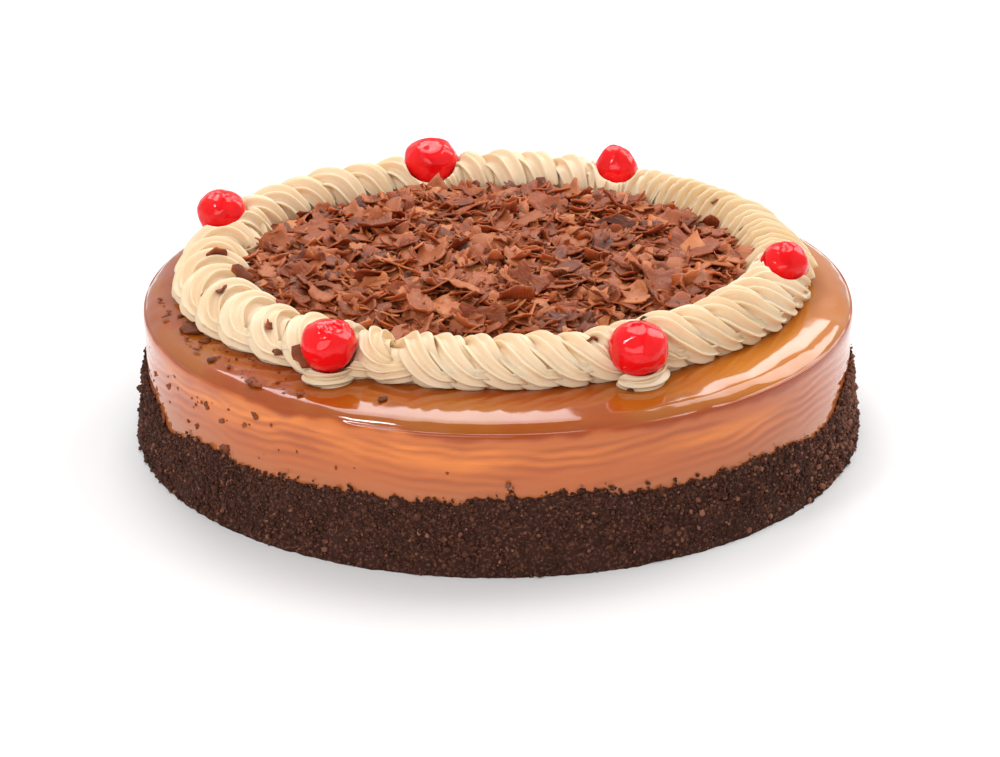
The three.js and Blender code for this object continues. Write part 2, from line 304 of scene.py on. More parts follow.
class Scatter:
    """Many copies of a few small shapes, which are joined to one piece. The shapes are (vertices,
    faces, marks) arrays."""

    def __init__(self, shapes):
        self.shapes = shapes
        self.vertices, self.faces, self.tones, self.marks = [], [], [], []
        self.count = 0

    def pick(self, rng):
        return self.shapes[rng.randrange(len(self.shapes))]

    def add(self, shape, place, turn, size, tone):
        """Adds a copy of a shape. The copy has one tone, and its shape's own marks."""
        matrix = np.array(Matrix.LocRotScale(place, turn, Vector(size)))
        points, polygons, marks = shape
        self.vertices.append(points @ matrix[:3, :3].T + matrix[:3, 3])
        self.faces.append(polygons + self.count)
        self.tones.append(np.full(len(points), tone))
        self.marks.append(marks)
        self.count += len(points)

    def piece(self, name, finish, slot, lowest=0.0):
        """The piece with all the copies. None of its vertices is under the lowest height."""
        vertices = np.concatenate(self.vertices)
        vertices[:, 2] = np.maximum(vertices[:, 2], lowest)
        faces = np.concatenate(self.faces)
        corners = faces.shape[1]
        mesh = bpy.data.meshes.new(name)
        mesh.vertices.add(len(vertices))
        mesh.vertices.foreach_set("co", vertices.astype(np.float32).ravel())
        mesh.loops.add(faces.size)
        mesh.loops.foreach_set("vertex_index", faces.astype(np.int32).ravel())
        mesh.polygons.add(len(faces))
        mesh.polygons.foreach_set("loop_start", np.arange(0, faces.size, corners, dtype=np.int32))
        mesh.update(calc_edges=True)
        tone = mesh.attributes.new("tone", "FLOAT", "POINT")
        tone.data.foreach_set("value", np.concatenate(self.tones))
        leaf = mesh.attributes.new("leaf", "FLOAT_VECTOR", "POINT")
        leaf.data.foreach_set("vector", np.concatenate(self.marks).ravel())
        return add_piece(name, mesh, finish)


def arrays_of(bm, mark=None):
    """The (vertices, faces, marks) arrays of a bmesh, which it frees. `mark` is the layer whose
    vectors are kept as marks."""
    bmesh.ops.recalc_face_normals(bm, faces=bm.faces)
    bm.verts.index_update()
    points = np.array([vertex.co for vertex in bm.verts])
    faces = np.array([[vertex.index for vertex in face.verts] for face in bm.faces])
    marks = np.array([vertex[mark] for vertex in bm.verts]) if mark else points.copy()
    bm.free()
    return points, faces, marks


# ---- materials ----
class Nodes:
    """A node tree being put together, with short ways to add nodes and to join them."""

    def __init__(self, owner):
        owner.use_nodes = True
        self.tree = owner.node_tree

    def node(self, kind, **settings):
        node = self.tree.nodes.new(kind)
        for key, value in settings.items():
            setattr(node, key, value)
        return node

    def filled(self, kind, **values):
        """A node whose sockets have the given values."""
        node = self.node(kind)
        for key, value in values.items():
            node.inputs[key.replace("_", " ")].default_value = value
        return node

    def join(self, source, target):
        self.tree.links.new(source, target)

    def coordinates(self, scale=(1, 1, 1)):
        texture = self.node("ShaderNodeTexCoord")
        mapping = self.filled("ShaderNodeMapping", Scale=scale)
        self.join(texture.outputs["Object"], mapping.inputs["Vector"])
        return mapping.outputs["Vector"]

    def noise(self, scale, detail=3, roughness=0.55, vector=None, stretch=(1, 1, 1)):
        texture = self.filled("ShaderNodeTexNoise", Scale=scale, Detail=detail, Roughness=roughness)
        self.join(vector or self.coordinates(stretch), texture.inputs["Vector"])
        return texture.outputs["Fac"]

    def span(self, value, low, high, to_low=0.0, to_high=1.0):
        node = self.filled("ShaderNodeMapRange", From_Min=low, From_Max=high, To_Min=to_low, To_Max=to_high)
        self.join(value, node.inputs["Value"])
        return node.outputs["Result"]

    def mix(self, share, first, second):
        node = self.node("ShaderNodeMix", data_type="RGBA")
        for value, socket in ((share, node.inputs[0]), (first, node.inputs[6]), (second, node.inputs[7])):
            if isinstance(value, bpy.types.NodeSocket):
                self.join(value, socket)
            elif isinstance(value, float):
                socket.default_value = value
            else:
                socket.default_value = (*value, 1)
        return node.outputs[2]

    def product(self, first, second):
        node = self.node("ShaderNodeMath", operation="MULTIPLY")
        self.join(first, node.inputs[0])
        self.join(second, node.inputs[1])
        return node.outputs["Value"]

    def attribute(self, name, output="Fac"):
        return self.node("ShaderNodeAttribute", attribute_name=name).outputs[output]


class Finish(Nodes):
    """A material being put together."""

    def __init__(self, name):
        self.material = bpy.data.materials.new(name)
        super().__init__(self.material)
        self.shader = self.tree.nodes["Principled BSDF"]

    def set(self, **values):
        for key, value in values.items():
            self.shader.inputs[key.replace("_", " ")].default_value = value

    def let_light_in(self, weight, reach):
        """How much light goes in under the surface, and how far red, green and blue get there."""
        self.set(Subsurface_Weight=weight, Subsurface_Radius=reach, Subsurface_Scale=1.0)

    def colour(self, socket):
        self.join(socket, self.shader.inputs["Base Color"])

    def bump(self, height, distance, strength=1.0, under=None):
        node = self.filled("ShaderNodeBump", Strength=strength, Distance=distance)
        self.join(height, node.inputs["Height"])
        if under is not None:
            self.join(under, node.inputs["Normal"])
        self.join(node.outputs["Normal"], self.shader.inputs["Normal"])
        return node.outputs["Normal"]


def tinted(colour, factors):
    return [value * factor for value, factor in zip(colour, factors)]


def glaze_finish(settings):
    finish = Finish("caramel_mirror_glaze")
    ripple = finish.attribute("ripple")
    streak = finish.span(finish.noise(26, detail=3, stretch=(1, 1, 5)), 0.35, 0.7)
    # Painted shade darkens the hollows between the ripples.
    wall = finish.mix(ripple, settings.shade, settings.caramel)
    # Painted light: streaky bright patches on the wall.
    wall = finish.mix(finish.product(finish.attribute("painted_glow"), streak), wall, settings.painted_glow)
    wall = finish.mix(finish.attribute("foot"), wall, settings.foot)
    flat = finish.mix(finish.span(finish.noise(24, detail=4), 0.42, 0.62), settings.top, settings.deep)
    # Painted sheen on the right of the top.
    flat = finish.mix(finish.attribute("painted_light"), flat, settings.painted_light)
    colour = finish.mix(finish.attribute("bead"), wall, settings.bead)
    finish.colour(finish.mix(finish.attribute("top"), colour, flat))
    finish.set(Roughness=0.1, IOR=1.45, Coat_Weight=0.25, Coat_Roughness=0.03)
    finish.let_light_in(0.06, (0.004, 0.0015, 0.0006))
    finish.bump(finish.noise(60, detail=2, stretch=(1, 1, 2.5)), 0.0004, 0.35)
    return finish.material


def crumb_finish(settings):
    finish = Finish("dark_cake_crumb")
    tone = finish.attribute("tone")
    grain = finish.noise(900, detail=4, roughness=0.7)
    patch = finish.noise(120, detail=3)
    colour = finish.mix(finish.span(tone, 0.1, 0.7), settings.deep, settings.crumb)
    colour = finish.mix(finish.span(patch, 0.45, 0.7), colour, settings.deep)
    colour = finish.mix(finish.span(grain, 0.52, 0.75, 0.0, 0.8), colour, settings.light)
    finish.colour(finish.mix(finish.span(tone, 0.93, 1.0), colour, settings.light))
    finish.set(Roughness=0.75, IOR=1.3)
    finish.bump(finish.noise(1500, detail=5, roughness=0.75), 0.0005, 0.9)
    return finish.material


def cream_finish(settings):
    finish = Finish("piped_buttercream")
    patch = finish.span(finish.noise(45, detail=3), 0.3, 0.7)
    deep = tinted(settings.cream, (0.93, 0.87, 0.78))
    finish.colour(finish.mix(patch, settings.cream, deep))
    finish.set(Roughness=0.42, IOR=1.45, Coat_Weight=0.08, Coat_Roughness=0.3)
    finish.let_light_in(0.25, (0.004, 0.0026, 0.0015))
    fine = finish.bump(finish.noise(420, detail=3, roughness=0.6), 0.0002, 0.5)
    finish.bump(finish.noise(2600, detail=2), 0.00006, 0.5, under=fine)
    return finish.material


def cherry_finish(settings):
    finish = Finish("glace_cherry_red")
    deep = tinted(settings.red, (0.8, 0.5, 0.5))
    patch = finish.span(finish.noise(130, detail=3), 0.4, 0.75)
    finish.colour(finish.mix(patch, settings.red, deep))
    finish.set(Roughness=0.08, IOR=1.31, Coat_Weight=0.22, Coat_Roughness=0.02)
    finish.let_light_in(0.35, (0.005, 0.0004, 0.0003))
    finish.bump(finish.noise(160, detail=2), 0.0008, 0.42)
    return finish.material


def chocolate_finish(settings):
    finish = Finish("shaved_milk_chocolate")
    tone = finish.attribute("tone")
    leaf = finish.attribute("leaf", "Vector")
    parts = finish.node("ShaderNodeSeparateXYZ")
    finish.join(leaf, parts.inputs[0])
    stretch = finish.filled("ShaderNodeMapping", Scale=(260, 1900, 0))
    finish.join(leaf, stretch.inputs["Vector"])
    scrape = finish.noise(1.0, detail=4, roughness=0.6, vector=stretch.outputs["Vector"])
    mottle = finish.noise(220, detail=3)
    colour = finish.mix(finish.span(tone, 0.0, 0.4), settings.dark, settings.chocolate)
    colour = finish.mix(finish.span(tone, 0.45, 1.0), colour, settings.pale)
    colour = finish.mix(finish.span(mottle, 0.5, 0.8, 0.0, 0.55), colour, settings.dark)
    colour = finish.mix(finish.span(scrape, 0.5, 0.8, 0.0, 0.7), colour, settings.pale)
    # Painted light: patches of the torn edges are painted orange, as if lit through.
    torn_edge = finish.span(parts.outputs["Z"], 0.4, 1.0)
    lit = finish.product(torn_edge, finish.span(mottle, 0.48, 0.66, 0.0, 0.55))
    finish.colour(finish.mix(lit, colour, settings.rim))
    finish.set(Roughness=0.45, Specular_IOR_Level=0.28)
    finish.let_light_in(0.2, (0.0022, 0.0007, 0.0002))
    finish.bump(scrape, 0.0003, 0.6)
    return finish.material


def floor_finish():
    finish = Finish("pale_floor")
    finish.colour(finish.mix(finish.noise(3, detail=2), (0.86, 0.86, 0.86), (0.9, 0.9, 0.9)))
    finish.set(Roughness=0.6)
    return finish.material


# ---- glazed body ----
WALL_ROWS = 58
EDGE_ROWS = 12
TOP_ROWS = 26
WALL_SEGMENTS = 400


def glaze_profile(edge_radius):
    foot = 0.8 * MM
    wall_top = CAKE_TOP - edge_radius
    points = [(0, 0), (CAKE_RADIUS - foot, 0)]
    points += [(CAKE_RADIUS, lerp(foot, wall_top, row / WALL_ROWS)) for row in range(WALL_ROWS + 1)]
    for row in range(1, EDGE_ROWS + 1):
        turn = row / EDGE_ROWS * pi / 2
        inward = edge_radius * (1 - cos(turn))
        down = edge_radius * (1 - sin(turn))
        points.append((CAKE_RADIUS - inward, CAKE_TOP - down))
    flat = CAKE_RADIUS - edge_radius
    points += [(flat * (1 - row / TOP_ROWS), CAKE_TOP) for row in range(1, TOP_ROWS + 1)]
    return points


SWAGS = 4
SWAG_LOW = radians(6)  # where the ripples of the front hang lowest
# Where bright patches of painted light lie on the wall: degrees round the cake, height in
# millimetres, how far they reach both ways, and how strong they are.
PAINTED_GLOWS = [
    (-24, 40, 26, 7, 1.0), (-2, 39, 22, 4, 0.6), (33, 37, 20, 5, 0.6), (-50, 41, 20, 5, 1.0),
    (120, 33, 40, 7, 0.7), (200, 36, 36, 7, 0.8), (-120, 33, 36, 7, 0.7),
]


def ripple_at(point, angle, settings):
    """0 to 1: how much a palette knife's ripple stands out at a point of the wall."""
    hang = settings.sag * cos(SWAGS * (angle - SWAG_LOW))
    around_wall = Vector((point.x, point.y, 0)) / 0.04
    drift = 3.6 * MM * noise(around_wall) + 1.4 * MM * noise(around_wall * 3.3)
    drift += 1.0 * MM * noise(Vector((point.x, point.y, point.z * 3)) / 0.017)
    wave = sin(TAU * (point.z + hang + drift) / settings.ripple_height)
    patch = noise(Vector((point.x / 0.032, point.y / 0.032, point.z / 0.009)))
    fade = smooth(0.018, 0.031, point.z) * (1 - smooth(CAKE_TOP - 0.009, CAKE_TOP - 0.005, point.z))
    return 1 - smooth(-0.55, 0.1, patch) * fade * (0.5 - 0.5 * wave) ** 1.4


def painted_glow_at(point, angle):
    painted_glow = 0.0
    for at, height, wide, high, most in PAINTED_GLOWS:
        away = degrees(angle_between(angle, radians(at))) / wide
        above = (point.z / MM - height) / high
        painted_glow += most * exp(-(away**2) - above**2)
    return min(1.0, painted_glow)


def right_share(angle):
    """0 to 1: how far an angle is in the right part of the cake, where the glaze ran off towards the rim and
    where the top carries a painted sheen.
    """
    turned = degrees(angle_between(angle, 0))
    return smooth(20, 45, turned) * (1 - smooth(110, 140, turned))


def glaze_marks(point, angle, wander, settings):
    """How much of each tone the glaze has at a point, from 0 to 1, with the painted light of its bright wall
    patches and the painted sheen on the right of its top.
    """
    out = Vector((point.x, point.y, 0)).normalized()
    ragged = 1.8 * MM * noise(out * 5) + 1.0 * MM * noise(out * 17)
    edge_line = CAKE_TOP - settings.edge_radius * 0.55 + 0.6 * ragged
    bead_line = CAKE_TOP - (5.8 + 1.2 * sin(angle)) * MM + 1.7 * ragged
    ripple = ripple_at(point, angle, settings)
    return {
        "ripple": ripple,
        "top": smooth(edge_line - 0.5 * MM, edge_line + 1.0 * MM, point.z),
        "painted_light": right_share(angle) * min(1.0, 0.85 + 0.6 * wander),
        "bead": smooth(bead_line - 0.5 * MM, bead_line + 1.6 * MM, point.z) * 0.95,
        "foot": 1 - smooth(20 * MM, 34 * MM, point.z + 4 * MM * wander),
        "painted_glow": painted_glow_at(point, angle) * (0.3 + 0.7 * ripple),
    }


def glaze_shift(point, wander, ripple, settings):
    """How far the glaze lies off the plain turned body at a point: its ripples and the bead under
    its edge on the wall, and the uneven slope of the top down to the rim."""
    angle, distance = cylinder_of(point)
    flat = CAKE_RADIUS - settings.edge_radius
    shift = Vector((0, 0, 0))
    if distance > flat - 2 * MM and point.z > 1 * MM:
        bead = exp(-(((point.z - CAKE_TOP + 6 * MM) / (3 * MM)) ** 2))
        push = settings.ripple_depth * (ripple - 0.5) + 0.3 * MM * wander + 0.25 * MM * bead
        shift = Vector((point.x, point.y, 0)).normalized() * push
    if point.z > CAKE_TOP - 3 * MM:
        right = right_share(angle)
        slope = smooth(flat - lerp(9, 3.5, right) * MM, flat + 3 * MM, distance)
        uneven = 0.45 * wander + 0.5 * noise(point / 0.016) + 0.25 * noise(point / 0.007)
        shift.z -= slope * (0.75 + 0.25 * right + (1 + 0.35 * right) * uneven) * MM
    return shift


def make_glaze(settings):
    bm = spun(glaze_profile(settings.edge_radius), WALL_SEGMENTS)
    names = ("ripple", "top", "painted_light", "bead", "foot", "painted_glow")
    layers = {name: bm.verts.layers.float.new(name) for name in names}
    for vertex in bm.verts:
        point = vertex.co.copy()
        wander = noise(Vector((point.x, point.y, point.z * 1.5)) / 0.045)
        marks = glaze_marks(point, cylinder_of(point)[0], wander, settings)
        for name, layer in layers.items():
            vertex[layer] = marks[name]
        vertex.co += glaze_shift(point, wander, marks["ripple"], settings)
    glaze = add_piece("mirror_glaze", mesh_from(bm, "mirror_glaze"), glaze_finish(settings))
    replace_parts(glaze, "glazed_body")


# ---- crumb coat ----
CRUMB_ROWS = 26
CRUMB_SEGMENTS = 720
CRUMB_TOP_THICKNESS = 1.2 * MM
PALE_AT, PALE_REACH = 86, 30  # degrees round the cake
PALE_SHARE = 0.75
PALE_TONE = 0.95


def crumb_thickness(share):
    foot = CRUMB_BASE_RADIUS - CAKE_RADIUS - 1.1 * MM
    return foot + (CRUMB_TOP_THICKNESS - foot) * share**0.8


def crumb_top(angle):
    ragged = noise(Vector((sin(angle), cos(angle), 0)) * 45)
    coarse = noise(Vector((sin(angle), cos(angle), 3)) * 14)
    return crumb_height(angle) + (1.5 * ragged + 0.9 * coarse) * MM


def make_crumb_coat(settings):
    inner = CAKE_RADIUS - 0.5 * MM
    outer = CAKE_RADIUS + CRUMB_TOP_THICKNESS  # the loop below gives the face its true place
    # The profile's heights are shares of the coat's height.
    rows = [(inner, 0)] + [(outer, row / CRUMB_ROWS) for row in range(CRUMB_ROWS + 1)]
    bm = spun([*rows, (inner, 1), (inner, 0)], CRUMB_SEGMENTS)
    for vertex in bm.verts:
        angle, distance = cylinder_of(vertex.co)
        share = vertex.co.z
        height = crumb_top(angle) * share
        if distance < CAKE_RADIUS:
            vertex.co = around(angle, inner, height)
            continue
        at = around(angle, CAKE_RADIUS, height)
        grain = noise(at / 0.0022) * 0.55 + noise(at / 0.006) * 0.6
        out = CAKE_RADIUS + crumb_thickness(share) + grain * MM * (0.25 + 0.75 * (1 - share))
        vertex.co = around(angle, out, height)
    finish = crumb_finish(settings)
    core = add_piece("crumb_coat_core", mesh_from(bm, "crumb_coat_core"), finish)
    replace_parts(core, "crumb_coat")
    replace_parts(loose_crumbs(settings, finish), "crumb_coat")
    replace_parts(loose_grains(settings, finish), "crumb_coat")


def crumb_shapes(rng, count, create, sizes, pull):
    """Ragged little lumps about one unit across: plain bodies with their corners pulled."""
    shapes = []
    for _ in range(count):
        bm = bmesh.new()
        create(bm, **sizes)
        for vertex in bm.verts:
            vertex.co *= rng.uniform(*pull)
        shapes.append(arrays_of(bm))
    return shapes


def random_turn(rng):
    axis = Vector([rng.gauss(0, 1) for _ in range(3)]).normalized()
    return Matrix.Rotation(rng.uniform(0, TAU), 3, axis).to_quaternion()


def crumb_tone(rng, angle):
    """A crumb's tone. Most crumbs at the far right are pale ones."""
    tone = rng.random()
    away = (degrees(angle_between(angle, 0)) - PALE_AT) / PALE_REACH
    pale = rng.random() < PALE_SHARE * exp(-(away**2))
    return lerp(PALE_TONE, 1.0, tone) if pale else tone


def loose_crumbs(settings, finish):
    rng = random.Random(41)
    ball = {"subdivisions": 1, "radius": 0.5}
    scatter = Scatter(crumb_shapes(rng, 10, bmesh.ops.create_icosphere, ball, (0.6, 1.25)))
    for _ in range(settings.crumbs):
        angle = rng.uniform(0, TAU)
        share = rng.random() ** 0.92
        height = share * crumb_top(angle)
        size = settings.crumb_size * rng.lognormvariate(-0.12, 0.36)
        out = CAKE_RADIUS + crumb_thickness(share) + rng.uniform(-0.35, 0.3) * size
        place = around(angle, out, max(height, 0.45 * size))
        stretch = [size * rng.uniform(0.7, 1.25) for _ in range(3)]
        scatter.add(scatter.pick(rng), place, random_turn(rng), stretch, crumb_tone(rng, angle))
    return scatter.piece("cake_crumbs", finish, "chocolate_crumb")


def loose_grains(settings, finish):
    """Fine grains all over the coat, and in tufts that stand over its upper edge."""
    rng = random.Random(43)
    scatter = Scatter(crumb_shapes(rng, 8, bmesh.ops.create_cube, {"size": 0.8}, (0.55, 1.2)))
    spots = []
    for _ in range(settings.grains):
        angle = rng.uniform(0, TAU)
        share = rng.random() ** 0.8
        out = crumb_thickness(share) + 0.35 * MM * rng.random()
        spots.append((angle, share * crumb_top(angle), out))
    for _ in range(settings.tufts):
        angle = rng.uniform(0, TAU)
        tall = rng.expovariate(1 / 1.1) * MM
        for _ in range(rng.randint(4, 10)):
            up = rng.random() ** 1.5
            beside = rng.gauss(0, 0.9) * MM * (1.2 - up) / CAKE_RADIUS
            spots.append((angle + beside, crumb_top(angle) + up * tall, rng.uniform(0.2, 1.1) * MM))
    for angle, height, out in spots:
        size = settings.grain_size * rng.lognormvariate(0, 0.35)
        place = around(angle, CAKE_RADIUS + out, max(height, 0.4 * size))
        scatter.add(scatter.pick(rng), place, random_turn(rng), (size,) * 3, crumb_tone(rng, angle))
    return scatter.piece("crumb_grains", finish, "chocolate_crumb")


# ---- piped cream ----
STRAND_STEPS = 54
STRAND_SIDES = 90
RUFFLE_RIBS = 6
LIP_RIBS = 5
LIP_STEPS = 40
MERGE_DISTANCE = 0.002 * MM

Cherry = namedtuple("Cherry", "centre half cover taper")


def placed_cherries():
    """Each cherry's middle and half sizes in the solid model, its cover and its taper."""
    cherries = []
    for number, (cover, taper) in enumerate(zip(CHERRY_COVER, CHERRY_TAPER), 1):
        low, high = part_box(f"cherry_{number}")
        cherries.append(Cherry((low + high) / 2, (high - low) / 2, cover * MM, taper))
    return cherries


def run_end(index):
    return RUNS[index + 1]["cherry"] if index + 1 < len(RUNS) else RUNS[0]["cherry"] + 360


def run_start(index):
    return sum(run["turns"] for run in RUNS[:index])


def rope_angle(turn):
    laps, rest = divmod(turn, TURNS)
    for index, run in enumerate(RUNS):
        if rest <= run["turns"]:
            return radians(lerp(run["cherry"], run_end(index), rest / run["turns"]) + 360 * laps)
        rest -= run["turns"]
    return radians(RUNS[0]["cherry"] + 360 * (laps + 1))


def pitch_of(index):
    run = RUNS[index]
    return radians(run_end(index) - run["cherry"]) * ROPE_RADIUS / run["turns"]


OPEN_RISE = radians(23.4)  # the cream in front of a cherry is open to a view this steep
OPEN_REACH = 22 * MM


def press_under_cherries(point, cherries, clear=0.15 * MM):
    """Presses a point of the cream down where a cherry sits in it, and in front of it too, where
    the cream only covers its foot."""
    for cherry in cherries:
        centre, half = cherry.centre, cherry.half
        across, ahead = point.x - centre.x, centre.y - point.y
        if abs(across) > 1.6 * half.x or not -1.6 * half.y < ahead < OPEN_REACH:
            continue
        reach = hypot(across / half.x, ahead / half.y)
        if reach < 1:
            point.z = min(point.z, centre.z - half.z * sqrt(1 - reach * reach) - clear)
        elif reach < 1.6:
            point.z = min(point.z, centre.z - clear + half.z * 2.4 * (reach - 1))
        if ahead > 0:
            side = sqrt(max(0.0, 1 - (across / half.x) ** 2))
            foot = centre.z - half.z * side * cos(OPEN_RISE) + cherry.cover
            open_to = foot + (ahead - half.y * side * sin(OPEN_RISE)) * tan(OPEN_RISE)
            open_to += 3 * max(0.0, abs(across) - 0.85 * half.x)
            point.z = min(point.z, open_to)
    return point


def wandering(rng, count, amount):
    """A function of the turn number that drifts smoothly between random values around 1."""
    values = [rng.uniform(1 - amount, 1 + amount) for _ in range(count + 6)]

    def at(turn):
        whole = int(turn // 1)
        return lerp(values[whole + 2], values[whole + 3], smooth(0, 1, turn - whole))

    return at


Nozzle = namedtuple("Nozzle", "centre face thick wide sharp tilt twist")


def section_point(nozzle, face, sideways, column, close, rib_depth, ribs):
    """A point of the nozzle's section, at an angle round it. `close` is 1, or less near an end."""
    theta = column + nozzle.twist
    crest = (1 - abs(sin(ribs * (column - pi / 2) / 2))) ** 1.5
    swell = rib_depth * nozzle.sharp * (crest - 0.25)
    across = (nozzle.wide + swell) * cos(theta) * close
    up = (nozzle.thick + swell) * sin(theta) * close
    turned_across = across * cos(nozzle.tilt) - up * sin(nozzle.tilt)
    turned_up = across * sin(nozzle.tilt) + up * cos(nozzle.tilt)
    return nozzle.centre + sideways * turned_across + face * turned_up


def sweep_strand(bm, path, first, last, steps, rib_depth, ribs, cherries):
    """Sweeps the star nozzle's section along a path, which gives the Nozzle for a turn number:
    the strand's centre, where its face looks, its half thickness and half width, how sharp its
    ribs stand, and the turn of the section and of its ribs."""
    frames = []
    for step in range(steps + 1):
        turn = lerp(first, last, step / steps)
        nozzle = path(turn)
        forward = (path(turn + 0.004).centre - path(turn - 0.004).centre).normalized()
        sideways = forward.cross(nozzle.face).normalized()
        frames.append((nozzle, sideways.cross(forward), sideways))
    made = bmesh.ops.create_grid(bm, x_segments=steps, y_segments=STRAND_SIDES, size=0.5)
    closing = STRAND_STEPS * 0.08
    for vertex in made["verts"]:
        step = round((vertex.co.x + 0.5) * steps)
        column = (vertex.co.y + 0.5) * TAU
        nozzle, face, sideways = frames[step]
        close = sin(min(1.0, min(step, steps - step) / closing) * pi / 2) ** 0.5
        point = section_point(nozzle, face, sideways, column, close, rib_depth, ribs)
        point += face * 0.45 * MM * noise(point / 0.007)
        point = press_under_cherries(point, cherries)
        point.z = max(point.z, CAKE_TOP + 0.1 * MM)
        vertex.co = point
    bmesh.ops.remove_doubles(bm, verts=made["verts"], dist=MERGE_DISTANCE)


def style_at(run, turn):
    if "opening" not in run:
        return run["style"]
    share = smooth(*OPENING_TURNS, turn)
    return {key: lerp(run["opening"][key], value, share) for key, value in run["style"].items()}


def looped_path(index, settings):
    """The nozzle's way along one run: a loop for each turn. A loop stands upright over the rope,
    or lies back on the loop before it."""
    run = RUNS[index]
    start = run_start(index)
    height = run["height"] * MM
    thick = min(settings.strand, height * 0.33)
    low = thick * 0.75
    rise = height - thick - low
    pitch = pitch_of(index)
    radial = run["half_width"] * MM - thick * 0.85
    rng = random.Random(60 + index)
    swell = wandering(rng, run["turns"], 0.1)
    slide = wandering(rng, run["turns"], 0.12)

    def path(turn):
        style = style_at(run, turn)
        phase = TAU * turn
        across, lift = cos(phase), sin(phase)
        size = swell(turn)
        bulge = max(0.0, lift)
        place = start + turn + slide(turn) - 1 - (style["lean"] - 0.5) / 2 * across
        place += style["hook"] * sin(2 * phase) - style["lay"] * lift
        angle = rope_angle(place)
        centre = around(angle, rope_radius(angle) - radial * size * across, CAKE_TOP + low)
        centre.z += rise * size * bulge**1.7
        back = Vector((cos(angle), sin(angle), 0)) * (-2.0 * style["lay"] * lift)
        return Nozzle(
            centre=centre,
            face=(around(angle, -across, lift + style["face_up"]) + back).normalized(),
            thick=thick * (0.75 + 0.25 * bulge),
            wide=pitch * style["strand"] * size * (0.6 + 0.4 * bulge**0.6),
            sharp=0.6 + 0.4 * bulge,
            tilt=radians(style["tilt"]),
            twist=style["twist"] * phase,
        )

    return path


CREST = -0.35  # where a fold of the ruffle stands highest, from -1 at its inner edge to 1


def fold_height(share):
    """0 to 1: the ruffle's height over its width, with a steep inner face."""
    if share < CREST:
        return max(0.0, (share + 1) / (CREST + 1)) ** 0.75
    return sqrt(max(0.0, 1 - ((share - CREST) / (1.05 - CREST)) ** 2))


def ruffle_path(index, settings):
    """The nozzle's way where it swung in and out over the rope."""
    run = RUNS[index]
    start = run_start(index)
    thick = settings.strand * 0.72
    radial = run["half_width"] * MM - thick * 0.6
    mound = run["height"] * MM - thick * 1.35
    wide = pitch_of(index) * run["style"]["strand"]
    rng = random.Random(90 + index)
    swell = wandering(rng, run["turns"] * 2, 0.12)
    rise_by = wandering(rng, run["turns"] * 2, 0.13)

    def path(turn):
        share = -cos(TAU * turn)
        angle = rope_angle(start + turn + sin(2 * TAU * turn) / (2 * TAU) * 0.85)
        rise = fold_height(share)
        height = thick * 0.5 + (mound - thick * 0.5) * rise * rise_by(turn * 2)
        return Nozzle(
            centre=around(angle, rope_radius(angle) + share * radial * swell(turn * 2), CAKE_TOP + height),
            face=around(angle, share * 1.2, rise * 0.8 + 0.15).normalized(),
            thick=thick,
            wide=wide,
            sharp=0.8 + 0.6 * rise**4,
            tilt=0.0,
            twist=0.0,
        )

    return path


def add_mound(bm, index, share, cherries):
    """The cream inside a run, under its strand."""
    run = RUNS[index]
    start = run_start(index)
    half = run["half_width"] * MM * share
    height = run["height"] * MM * share
    made = bmesh.ops.create_grid(bm, x_segments=run["turns"] * 8, y_segments=24, size=0.5)
    for vertex in made["verts"]:
        angle = rope_angle(start + (vertex.co.x + 0.5) * run["turns"])
        theta = (vertex.co.y + 0.5) * TAU
        up = max(0.0, sin(theta)) * height
        point = around(angle, rope_radius(angle) + half * cos(theta), CAKE_TOP + 0.1 * MM + up)
        vertex.co = press_under_cherries(point, cherries)
    bmesh.ops.remove_doubles(bm, verts=made["verts"], dist=MERGE_DISTANCE)


def lip_path(cherry, share, height, turned):
    """A thin fold of cream round the outer foot of a cherry."""
    angle, distance = cylinder_of(cherry.centre)
    along = Vector((cos(angle), sin(angle), 0))

    def path(turn):
        swing = lerp(-1.6, 1.6, turn) + turned
        reach = cherry.half.x * share * (1 + 0.12 * sin(5 * turn + 9 * turned))
        place = around(angle, distance + cos(swing) * reach, 0) + along * sin(swing) * reach
        swell = sin(pi * min(1.0, max(0.0, turn))) ** 0.6
        place.z = CAKE_TOP + height + 0.7 * MM * turn
        return Nozzle(
            centre=place,
            face=(around(angle, cos(swing) * 0.5, 1) + along * sin(swing) * 0.5).normalized(),
            thick=0.8 * MM * (0.3 + 0.7 * swell),
            wide=1.9 * MM * (0.2 + 0.8 * swell),
            sharp=0.7,
            tilt=-0.25,
            twist=0.0,
        )

    return path


# share of the cherry's radius, height over the cake, how far it is turned on
LIPS = [(0.72, 1.0 * MM, -0.1), (0.84, 2.4 * MM, 0.15)]


def make_cream(settings):
    finish = cream_finish(settings)
    cherries = placed_cherries()
    depth = settings.rib_depth
    for index, run in enumerate(RUNS):
        bm = bmesh.new()
        turns = run["turns"]
        if run["style"] is RUFFLE:
            path, steps, ribs = ruffle_path(index, settings), turns * STRAND_STEPS, RUFFLE_RIBS
            beyond, mound = 0.3, 0.6
        else:
            path, steps, ribs = looped_path(index, settings), (turns + 1) * STRAND_STEPS, settings.ribs
            beyond, mound = 0.5, 0.62
        sweep_strand(bm, path, -beyond, turns + beyond, steps, depth, ribs, cherries)
        add_mound(bm, index, mound, cherries)
        for share, height, turned in LIPS:
            lip = lip_path(cherries[index], share, height, LIP_TURN[index] + turned)
            sweep_strand(bm, lip, 0, 1, LIP_STEPS, depth, LIP_RIBS, cherries)
        open_rims = [edge for edge in bm.edges if edge.is_boundary]
        bmesh.ops.holes_fill(bm, edges=open_rims, sides=0)
        name = f"piped_cream_{index + 1}"
        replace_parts(add_piece(name, mesh_from(bm, name), finish), "cream_rope")


